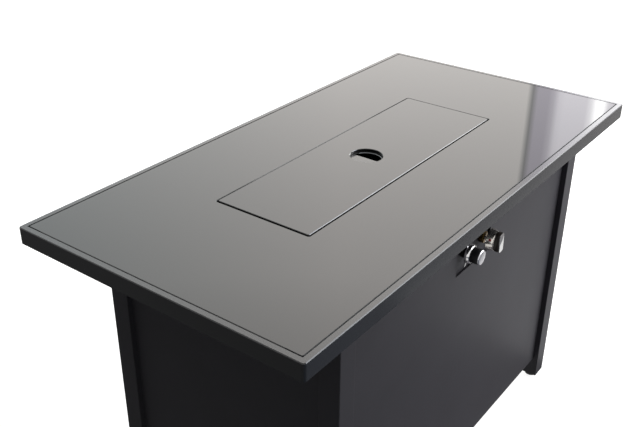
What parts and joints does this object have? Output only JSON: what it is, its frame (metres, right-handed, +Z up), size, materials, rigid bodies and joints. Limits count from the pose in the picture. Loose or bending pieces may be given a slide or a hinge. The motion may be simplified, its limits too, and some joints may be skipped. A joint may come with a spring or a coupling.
{
  "type": "gas fire pit table",
  "caption": "Rectangular gas fire pit table with a glass top, a flush lid over the burner, a panelled base with a tank door, a control knob and an igniter button.",
  "frame": {"origin": "on the floor under the middle of the table", "axes": "+X along the table's length, to the right as seen from the front; -Y is the front with the controls; +Z up"},
  "size_m": [1.092, 0.559, 0.64],
  "materials": {
    "powder_coat": "matte powder coat, fine texture, dark brown-grey",
    "frame_paint": "satin black paint",
    "table_glass": "glossy, tempered, painted grey on its back",
    "lid_plate_paint": "satin grey paint",
    "silicone": "matte",
    "stainless_steel": "brushed",
    "galvanised_steel": "dull spangle",
    "brass": "machined",
    "cast_aluminium": "die cast, matte",
    "zinc_plate": "zinc plated",
    "ceramic": "glazed",
    "black_plastic": "moulded, matte",
    "battery_case": "smooth",
    "bright_chrome": "polished plating"
  },
  "bodies": {
    "root": {"top_rim": "powder_coat", "post_front_left": "powder_coat", "post_front_right": "powder_coat", "post_back_left": "powder_coat", "post_back_right": "powder_coat", "front_panel": "powder_coat", "back_panel": "powder_coat", "left_panel": "powder_coat", "control_plate": "powder_coat", "top_support_frame": "frame_paint", "upper_rails": "frame_paint", "lower_rails": "frame_paint", "bottom_tray": "frame_paint", "tank_stops": "frame_paint", "glass_top": "table_glass", "glass_pads": "silicone", "burner_pan": "stainless_steel", "burner_tube": "stainless_steel", "burner_saddles": "stainless_steel", "air_mixer": "stainless_steel", "sensor_bracket": "stainless_steel", "heat_shield": "galvanised_steel", "gas_orifice": "brass", "gas_inlet": "brass", "valve_nut": "brass", "flame_sensor": "brass", "gas_valve": "cast_aluminium", "gas_pipe": "cast_aluminium", "top_bolts": "zinc_plate", "plate_spacers": "zinc_plate", "hinge_post_leaves": "zinc_plate", "hinge_pins": "zinc_plate", "spark_electrode": "ceramic", "foot_inserts": "black_plastic", "igniter_housing": "black_plastic", "door_magnet": "black_plastic", "igniter_ring": "bright_chrome"},
    "lid": {"lid": "table_glass", "lid_finger_plate": "lid_plate_paint", "lid_pads": "silicone"},
    "valve_push": {"valve_plunger": "zinc_plate"},
    "knob": {"control_knob": "bright_chrome", "valve_stem": "zinc_plate"},
    "igniter_push": {"igniter_plunger": "black_plastic", "igniter_battery": "battery_case"},
    "battery_cap": {"igniter_cap": "black_plastic", "igniter_cap_face": "bright_chrome"},
    "door": {"access_door": "powder_coat", "hinge_door_leaves": "zinc_plate", "door_strike": "zinc_plate"},
    "front_left_foot": {"foot_front_left": "black_plastic"},
    "front_right_foot": {"foot_front_right": "black_plastic"},
    "back_left_foot": {"foot_back_left": "black_plastic"},
    "back_right_foot": {"foot_back_right": "black_plastic"}
  },
  "joints": [
    {"name": "lid_lift", "type": "slide", "parent": "root", "child": "lid", "axis": [0, 0, 1], "range_m": [0, 0.08]},
    {"name": "knob_push", "type": "slide", "parent": "root", "child": "valve_push", "axis": [0, 1, 0], "range_m": [0, 0.003], "stiffness_N_per_m": 800, "springref_m": -0.001},
    {"name": "knob_turn", "type": "hinge", "parent": "valve_push", "child": "knob", "pos_m": [0.033, -0.25, 0.5365], "axis": [0, -1, 0], "range_deg": [0, 180]},
    {"name": "igniter_button", "type": "slide", "parent": "root", "child": "igniter_push", "axis": [0, 1, 0], "range_m": [0, 0.0025], "stiffness_N_per_m": 800, "springref_m": -0.001},
    {"name": "battery_cap_off", "type": "slide", "parent": "igniter_push", "child": "battery_cap", "axis": [0, -1, 0], "range_m": [0, 0.025]},
    {"name": "door_swing", "type": "hinge", "parent": "root", "child": "door", "pos_m": [0.4075, 0.2001, 0.32], "axis": [0, 0, 1], "range_deg": [0, 110]},
    {"name": "front_left_levelling", "type": "slide", "parent": "root", "child": "front_left_foot", "axis": [0, 0, -1], "range_m": [0, 0.008]},
    {"name": "front_right_levelling", "type": "slide", "parent": "root", "child": "front_right_foot", "axis": [0, 0, -1], "range_m": [0, 0.008]},
    {"name": "back_left_levelling", "type": "slide", "parent": "root", "child": "back_left_foot", "axis": [0, 0, -1], "range_m": [0, 0.008]},
    {"name": "back_right_levelling", "type": "slide", "parent": "root", "child": "back_right_foot", "axis": [0, 0, -1], "range_m": [0, 0.008]}
  ]
}
